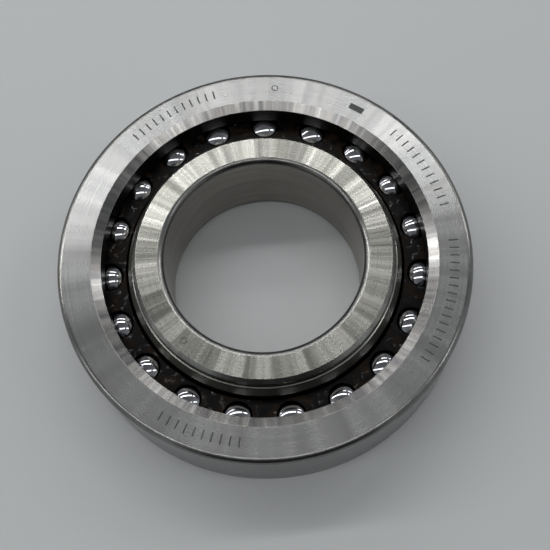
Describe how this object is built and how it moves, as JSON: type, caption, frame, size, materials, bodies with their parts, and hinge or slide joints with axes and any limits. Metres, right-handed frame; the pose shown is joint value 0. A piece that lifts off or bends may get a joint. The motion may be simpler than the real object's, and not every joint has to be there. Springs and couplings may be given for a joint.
{
  "type": "angular contact ball bearing",
  "caption": "Single-row open angular contact ball bearing with a steep contact angle: inner and outer steel rings, a row of balls and a dark plastic crown cage.",
  "frame": {"origin": "centre of the lower faces, on the axis of rotation, where the bearing rests on a surface", "axes": "+Z along the axis of rotation, towards the outer ring's high-shoulder face; X and Y lie in the lower faces' plane and are interchangeable apart from the balls' starting places"},
  "size_m": [0.062, 0.062, 0.015],
  "materials": {
    "outer_ring_steel": "ground bearing steel with fine marks around the ring",
    "inner_ring_steel": "ground bearing steel, brighter on its face and dark where turned",
    "ball_steel": "lapped to a mirror",
    "cage_polyamide": "moulded, with an oily sheen"
  },
  "bodies": {
    "outer_ring": {"outer_ring": "outer_ring_steel"},
    "inner_ring": {"inner_ring": "inner_ring_steel"},
    "cage": {"cage": "cage_polyamide"},
    "ball_01": {"ball_01": "ball_steel"},
    "ball_02": {"ball_02": "ball_steel"},
    "ball_03": {"ball_03": "ball_steel"},
    "ball_04": {"ball_04": "ball_steel"},
    "ball_05": {"ball_05": "ball_steel"},
    "ball_06": {"ball_06": "ball_steel"},
    "ball_07": {"ball_07": "ball_steel"},
    "ball_08": {"ball_08": "ball_steel"},
    "ball_09": {"ball_09": "ball_steel"},
    "ball_10": {"ball_10": "ball_steel"},
    "ball_11": {"ball_11": "ball_steel"},
    "ball_12": {"ball_12": "ball_steel"},
    "ball_13": {"ball_13": "ball_steel"},
    "ball_14": {"ball_14": "ball_steel"},
    "ball_15": {"ball_15": "ball_steel"},
    "ball_16": {"ball_16": "ball_steel"},
    "ball_17": {"ball_17": "ball_steel"},
    "ball_18": {"ball_18": "ball_steel"},
    "ball_19": {"ball_19": "ball_steel"}
  },
  "joints": [
    {"name": "inner_spin", "type": "hinge", "parent": "outer_ring", "child": "inner_ring", "pos_m": [0, 0, 0.0075], "axis": [0, 0, 1], "continuous": true},
    {"name": "cage_spin", "type": "hinge", "parent": "outer_ring", "child": "cage", "pos_m": [0, 0, 0.0075], "axis": [0, 0, 1], "continuous": true},
    {"name": "ball_01_spin", "type": "hinge", "parent": "cage", "child": "ball_01", "pos_m": [0.0026, 0.02371, 0.008], "axis": [0.0946, 0.8608, -0.5], "continuous": true},
    {"name": "ball_02_spin", "type": "hinge", "parent": "cage", "child": "ball_02", "pos_m": [-0.00523, 0.02327, 0.008], "axis": [-0.1901, 0.8449, -0.5], "continuous": true},
    {"name": "ball_03_spin", "type": "hinge", "parent": "cage", "child": "ball_03", "pos_m": [-0.01251, 0.02031, 0.008], "axis": [-0.4541, 0.7374, -0.5], "continuous": true},
    {"name": "ball_04_spin", "type": "hinge", "parent": "cage", "child": "ball_04", "pos_m": [-0.01842, 0.01515, 0.008], "axis": [-0.6689, 0.55, -0.5], "continuous": true},
    {"name": "ball_05_spin", "type": "hinge", "parent": "cage", "child": "ball_05", "pos_m": [-0.02234, 0.00834, 0.008], "axis": [-0.8113, 0.303, -0.5], "continuous": true},
    {"name": "ball_06_spin", "type": "hinge", "parent": "cage", "child": "ball_06", "pos_m": [-0.02384, 0.00064, 0.008], "axis": [-0.8657, 0.0232, -0.5], "continuous": true},
    {"name": "ball_07_spin", "type": "hinge", "parent": "cage", "child": "ball_07", "pos_m": [-0.02276, -0.00714, 0.008], "axis": [-0.8263, -0.2592, -0.5], "continuous": true},
    {"name": "ball_08_spin", "type": "hinge", "parent": "cage", "child": "ball_08", "pos_m": [-0.01921, -0.01414, 0.008], "axis": [-0.6974, -0.5134, -0.5], "continuous": true},
    {"name": "ball_09_spin", "type": "hinge", "parent": "cage", "child": "ball_09", "pos_m": [-0.01357, -0.01961, 0.008], "axis": [-0.4929, -0.7121, -0.5], "continuous": true},
    {"name": "ball_10_spin", "type": "hinge", "parent": "cage", "child": "ball_10", "pos_m": [-0.00647, -0.02296, 0.008], "axis": [-0.235, -0.8335, -0.5], "continuous": true},
    {"name": "ball_11_spin", "type": "hinge", "parent": "cage", "child": "ball_11", "pos_m": [0.00133, -0.02381, 0.008], "axis": [0.0484, -0.8647, -0.5], "continuous": true},
    {"name": "ball_12_spin", "type": "hinge", "parent": "cage", "child": "ball_12", "pos_m": [0.00899, -0.02209, 0.008], "axis": [0.3265, -0.8021, -0.5], "continuous": true},
    {"name": "ball_13_spin", "type": "hinge", "parent": "cage", "child": "ball_13", "pos_m": [0.01568, -0.01797, 0.008], "axis": [0.5693, -0.6526, -0.5], "continuous": true},
    {"name": "ball_14_spin", "type": "hinge", "parent": "cage", "child": "ball_14", "pos_m": [0.02066, -0.01191, 0.008], "axis": [0.7503, -0.4324, -0.5], "continuous": true},
    {"name": "ball_15_spin", "type": "hinge", "parent": "cage", "child": "ball_15", "pos_m": [0.02341, -0.00455, 0.008], "axis": [0.8501, -0.1653, -0.5], "continuous": true},
    {"name": "ball_16_spin", "type": "hinge", "parent": "cage", "child": "ball_16", "pos_m": [0.02362, 0.00329, 0.008], "axis": [0.8577, 0.1196, -0.5], "continuous": true},
    {"name": "ball_17_spin", "type": "hinge", "parent": "cage", "child": "ball_17", "pos_m": [0.02127, 0.01079, 0.008], "axis": [0.7724, 0.3917, -0.5], "continuous": true},
    {"name": "ball_18_spin", "type": "hinge", "parent": "cage", "child": "ball_18", "pos_m": [0.01662, 0.01711, 0.008], "axis": [0.6034, 0.6212, -0.5], "continuous": true},
    {"name": "ball_19_spin", "type": "hinge", "parent": "cage", "child": "ball_19", "pos_m": [0.01016, 0.02158, 0.008], "axis": [0.369, 0.7835, -0.5], "continuous": true}
  ],
  "couplings": [
    {"joint": "cage_spin", "follows": "inner_spin", "ratio": 0.46672},
    {"joint": "ball_01_spin", "follows": "inner_spin", "ratio": 3.7393},
    {"joint": "ball_02_spin", "follows": "inner_spin", "ratio": 3.7393},
    {"joint": "ball_03_spin", "follows": "inner_spin", "ratio": 3.7393},
    {"joint": "ball_04_spin", "follows": "inner_spin", "ratio": 3.7393},
    {"joint": "ball_05_spin", "follows": "inner_spin", "ratio": 3.7393},
    {"joint": "ball_06_spin", "follows": "inner_spin", "ratio": 3.7393},
    {"joint": "ball_07_spin", "follows": "inner_spin", "ratio": 3.7393},
    {"joint": "ball_08_spin", "follows": "inner_spin", "ratio": 3.7393},
    {"joint": "ball_09_spin", "follows": "inner_spin", "ratio": 3.7393},
    {"joint": "ball_10_spin", "follows": "inner_spin", "ratio": 3.7393},
    {"joint": "ball_11_spin", "follows": "inner_spin", "ratio": 3.7393},
    {"joint": "ball_12_spin", "follows": "inner_spin", "ratio": 3.7393},
    {"joint": "ball_13_spin", "follows": "inner_spin", "ratio": 3.7393},
    {"joint": "ball_14_spin", "follows": "inner_spin", "ratio": 3.7393},
    {"joint": "ball_15_spin", "follows": "inner_spin", "ratio": 3.7393},
    {"joint": "ball_16_spin", "follows": "inner_spin", "ratio": 3.7393},
    {"joint": "ball_17_spin", "follows": "inner_spin", "ratio": 3.7393},
    {"joint": "ball_18_spin", "follows": "inner_spin", "ratio": 3.7393},
    {"joint": "ball_19_spin", "follows": "inner_spin", "ratio": 3.7393}
  ]
}
